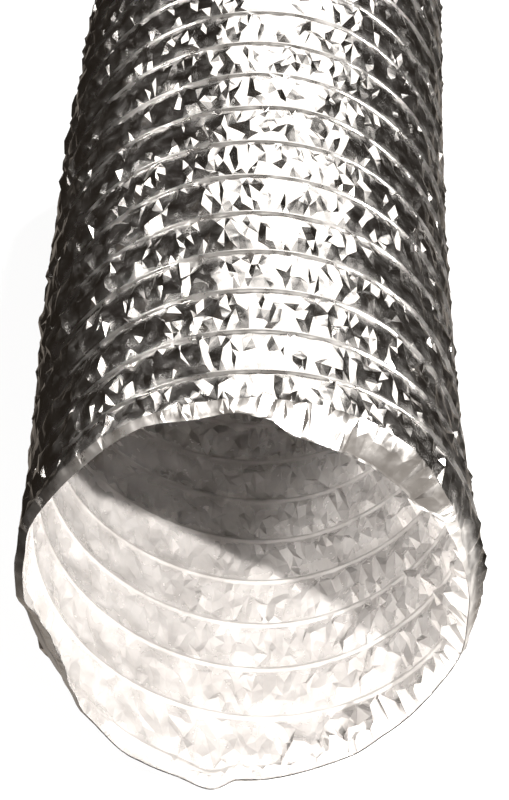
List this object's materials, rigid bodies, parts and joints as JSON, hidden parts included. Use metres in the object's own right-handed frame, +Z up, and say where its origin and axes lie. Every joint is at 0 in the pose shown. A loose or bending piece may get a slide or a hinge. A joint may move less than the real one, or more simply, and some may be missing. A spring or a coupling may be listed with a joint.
{
  "type": "flexible air duct",
  "caption": "Round flexible air duct: crumpled aluminium foil plies wound over a spring-steel wire helix, open at both cut ends.",
  "frame": {"origin": "on the surface that the duct lies on, under the middle of its length", "axes": "+Y along the duct, away from its front mouth; +Z up; +X to the right as seen from the front mouth"},
  "size_m": [0.1568, 0.455, 0.1568],
  "materials": {
    "outer_foil": "bright crumpled foil laminate",
    "inner_foil": "bright foil laminate, finely wrinkled",
    "wire": "drawn spring wire"
  },
  "bodies": {
    "front_end": {"front_inner_cuff": "inner_foil", "front_outer_cuff": "outer_foil", "front_wire_end": "wire"},
    "fold_01": {"inner_foil_01": "inner_foil", "outer_foil_01": "outer_foil"},
    "ring_01": {"wire_turn_01": "wire"},
    "fold_02": {"inner_foil_02": "inner_foil", "outer_foil_02": "outer_foil"},
    "ring_02": {"wire_turn_02": "wire"},
    "fold_03": {"inner_foil_03": "inner_foil", "outer_foil_03": "outer_foil"},
    "ring_03": {"wire_turn_03": "wire"},
    "fold_04": {"inner_foil_04": "inner_foil", "outer_foil_04": "outer_foil"},
    "ring_04": {"wire_turn_04": "wire"},
    "fold_05": {"inner_foil_05": "inner_foil", "outer_foil_05": "outer_foil"},
    "ring_05": {"wire_turn_05": "wire"},
    "fold_06": {"inner_foil_06": "inner_foil", "outer_foil_06": "outer_foil"},
    "ring_06": {"wire_turn_06": "wire"},
    "fold_07": {"inner_foil_07": "inner_foil", "outer_foil_07": "outer_foil"},
    "ring_07": {"wire_turn_07": "wire"},
    "fold_08": {"inner_foil_08": "inner_foil", "outer_foil_08": "outer_foil"},
    "ring_08": {"wire_turn_08": "wire"},
    "fold_09": {"inner_foil_09": "inner_foil", "outer_foil_09": "outer_foil"},
    "ring_09": {"wire_turn_09": "wire"},
    "fold_10": {"inner_foil_10": "inner_foil", "outer_foil_10": "outer_foil"},
    "ring_10": {"wire_turn_10": "wire"},
    "fold_11": {"inner_foil_11": "inner_foil", "outer_foil_11": "outer_foil"},
    "ring_11": {"wire_turn_11": "wire"},
    "fold_12": {"inner_foil_12": "inner_foil", "outer_foil_12": "outer_foil"},
    "ring_12": {"wire_turn_12": "wire"},
    "fold_13": {"inner_foil_13": "inner_foil", "outer_foil_13": "outer_foil"},
    "back_end": {"wire_turn_13": "wire", "back_inner_cuff": "inner_foil", "back_outer_cuff": "outer_foil", "back_wire_end": "wire"}
  },
  "joints": [
    {"name": "stretch_01", "type": "slide", "parent": "front_end", "child": "fold_01", "axis": [0, 1, 0], "range_m": [-0.0105, 0.004], "deforming": ["inner_foil_01", "outer_foil_01"]},
    {"name": "lift_bend_01", "type": "hinge", "parent": "fold_01", "child": "ring_01", "pos_m": [0, -0.154, 0.0784], "axis": [0.9998, 0, 0.0175], "range_deg": [0, 5.5], "deforming": ["wire_turn_01"]},
    {"name": "stretch_02", "type": "slide", "parent": "ring_01", "child": "fold_02", "axis": [0, 1, 0], "range_m": [-0.0105, 0.004], "deforming": ["inner_foil_02", "outer_foil_02"]},
    {"name": "side_bend_02", "type": "hinge", "parent": "fold_02", "child": "ring_02", "pos_m": [0, -0.127, 0.0784], "axis": [-0.0175, 0, 0.9998], "range_deg": [-5.5, 5.5], "deforming": ["wire_turn_02"]},
    {"name": "stretch_03", "type": "slide", "parent": "ring_02", "child": "fold_03", "axis": [0, 1, 0], "range_m": [-0.0105, 0.004], "deforming": ["inner_foil_03", "outer_foil_03"]},
    {"name": "lift_bend_03", "type": "hinge", "parent": "fold_03", "child": "ring_03", "pos_m": [0, -0.1, 0.0784], "axis": [0.9998, 0, 0.0175], "range_deg": [0, 5.5], "deforming": ["wire_turn_03"]},
    {"name": "stretch_04", "type": "slide", "parent": "ring_03", "child": "fold_04", "axis": [0, 1, 0], "range_m": [-0.0105, 0.004], "deforming": ["inner_foil_04", "outer_foil_04"]},
    {"name": "side_bend_04", "type": "hinge", "parent": "fold_04", "child": "ring_04", "pos_m": [0, -0.073, 0.0784], "axis": [-0.0175, 0, 0.9998], "range_deg": [-5.5, 5.5], "deforming": ["wire_turn_04"]},
    {"name": "stretch_05", "type": "slide", "parent": "ring_04", "child": "fold_05", "axis": [0, 1, 0], "range_m": [-0.0105, 0.004], "deforming": ["inner_foil_05", "outer_foil_05"]},
    {"name": "lift_bend_05", "type": "hinge", "parent": "fold_05", "child": "ring_05", "pos_m": [0, -0.046, 0.0784], "axis": [0.9998, 0, 0.0175], "range_deg": [0, 5.5], "deforming": ["wire_turn_05"]},
    {"name": "stretch_06", "type": "slide", "parent": "ring_05", "child": "fold_06", "axis": [0, 1, 0], "range_m": [-0.0105, 0.004], "deforming": ["inner_foil_06", "outer_foil_06"]},
    {"name": "side_bend_06", "type": "hinge", "parent": "fold_06", "child": "ring_06", "pos_m": [0, -0.019, 0.0784], "axis": [-0.0175, 0, 0.9998], "range_deg": [-5.5, 5.5], "deforming": ["wire_turn_06"]},
    {"name": "stretch_07", "type": "slide", "parent": "ring_06", "child": "fold_07", "axis": [0, 1, 0], "range_m": [-0.0105, 0.004], "deforming": ["inner_foil_07", "outer_foil_07"]},
    {"name": "lift_bend_07", "type": "hinge", "parent": "fold_07", "child": "ring_07", "pos_m": [0, 0.008, 0.0784], "axis": [0.9998, 0, 0.0175], "range_deg": [0, 5.5], "deforming": ["wire_turn_07"]},
    {"name": "stretch_08", "type": "slide", "parent": "ring_07", "child": "fold_08", "axis": [0, 1, 0], "range_m": [-0.0105, 0.004], "deforming": ["inner_foil_08", "outer_foil_08"]},
    {"name": "side_bend_08", "type": "hinge", "parent": "fold_08", "child": "ring_08", "pos_m": [0, 0.035, 0.0784], "axis": [-0.0175, 0, 0.9998], "range_deg": [-5.5, 5.5], "deforming": ["wire_turn_08"]},
    {"name": "stretch_09", "type": "slide", "parent": "ring_08", "child": "fold_09", "axis": [0, 1, 0], "range_m": [-0.0105, 0.004], "deforming": ["inner_foil_09", "outer_foil_09"]},
    {"name": "lift_bend_09", "type": "hinge", "parent": "fold_09", "child": "ring_09", "pos_m": [0, 0.062, 0.0784], "axis": [0.9998, 0, 0.0175], "range_deg": [0, 5.5], "deforming": ["wire_turn_09"]},
    {"name": "stretch_10", "type": "slide", "parent": "ring_09", "child": "fold_10", "axis": [0, 1, 0], "range_m": [-0.0105, 0.004], "deforming": ["inner_foil_10", "outer_foil_10"]},
    {"name": "side_bend_10", "type": "hinge", "parent": "fold_10", "child": "ring_10", "pos_m": [0, 0.089, 0.0784], "axis": [-0.0175, 0, 0.9998], "range_deg": [-5.5, 5.5], "deforming": ["wire_turn_10"]},
    {"name": "stretch_11", "type": "slide", "parent": "ring_10", "child": "fold_11", "axis": [0, 1, 0], "range_m": [-0.0105, 0.004], "deforming": ["inner_foil_11", "outer_foil_11"]},
    {"name": "lift_bend_11", "type": "hinge", "parent": "fold_11", "child": "ring_11", "pos_m": [0, 0.116, 0.0784], "axis": [0.9998, 0, 0.0175], "range_deg": [0, 5.5], "deforming": ["wire_turn_11"]},
    {"name": "stretch_12", "type": "slide", "parent": "ring_11", "child": "fold_12", "axis": [0, 1, 0], "range_m": [-0.0105, 0.004], "deforming": ["inner_foil_12", "outer_foil_12"]},
    {"name": "side_bend_12", "type": "hinge", "parent": "fold_12", "child": "ring_12", "pos_m": [0, 0.143, 0.0784], "axis": [-0.0175, 0, 0.9998], "range_deg": [-5.5, 5.5], "deforming": ["wire_turn_12"]},
    {"name": "stretch_13", "type": "slide", "parent": "ring_12", "child": "fold_13", "axis": [0, 1, 0], "range_m": [-0.0105, 0.004], "deforming": ["inner_foil_13", "outer_foil_13"]},
    {"name": "lift_bend_13", "type": "hinge", "parent": "fold_13", "child": "back_end", "pos_m": [0, 0.17, 0.0784], "axis": [0.9998, 0, 0.0175], "range_deg": [0, 5.5], "deforming": ["wire_turn_13"]}
  ],
  "couplings": [
    {"joint": "stretch_02", "follows": "stretch_01", "ratio": 1},
    {"joint": "stretch_03", "follows": "stretch_01", "ratio": 1},
    {"joint": "lift_bend_03", "follows": "lift_bend_01", "ratio": 1},
    {"joint": "stretch_04", "follows": "stretch_01", "ratio": 1},
    {"joint": "side_bend_04", "follows": "side_bend_02", "ratio": 1},
    {"joint": "stretch_05", "follows": "stretch_01", "ratio": 1},
    {"joint": "lift_bend_05", "follows": "lift_bend_01", "ratio": 1},
    {"joint": "stretch_06", "follows": "stretch_01", "ratio": 1},
    {"joint": "side_bend_06", "follows": "side_bend_02", "ratio": 1},
    {"joint": "stretch_07", "follows": "stretch_01", "ratio": 1},
    {"joint": "lift_bend_07", "follows": "lift_bend_01", "ratio": 1},
    {"joint": "stretch_08", "follows": "stretch_01", "ratio": 1},
    {"joint": "side_bend_08", "follows": "side_bend_02", "ratio": 1},
    {"joint": "stretch_09", "follows": "stretch_01", "ratio": 1},
    {"joint": "lift_bend_09", "follows": "lift_bend_01", "ratio": 1},
    {"joint": "stretch_10", "follows": "stretch_01", "ratio": 1},
    {"joint": "side_bend_10", "follows": "side_bend_02", "ratio": 1},
    {"joint": "stretch_11", "follows": "stretch_01", "ratio": 1},
    {"joint": "lift_bend_11", "follows": "lift_bend_01", "ratio": 1},
    {"joint": "stretch_12", "follows": "stretch_01", "ratio": 1},
    {"joint": "side_bend_12", "follows": "side_bend_02", "ratio": 1},
    {"joint": "stretch_13", "follows": "stretch_01", "ratio": 1},
    {"joint": "lift_bend_13", "follows": "lift_bend_01", "ratio": 1}
  ]
}
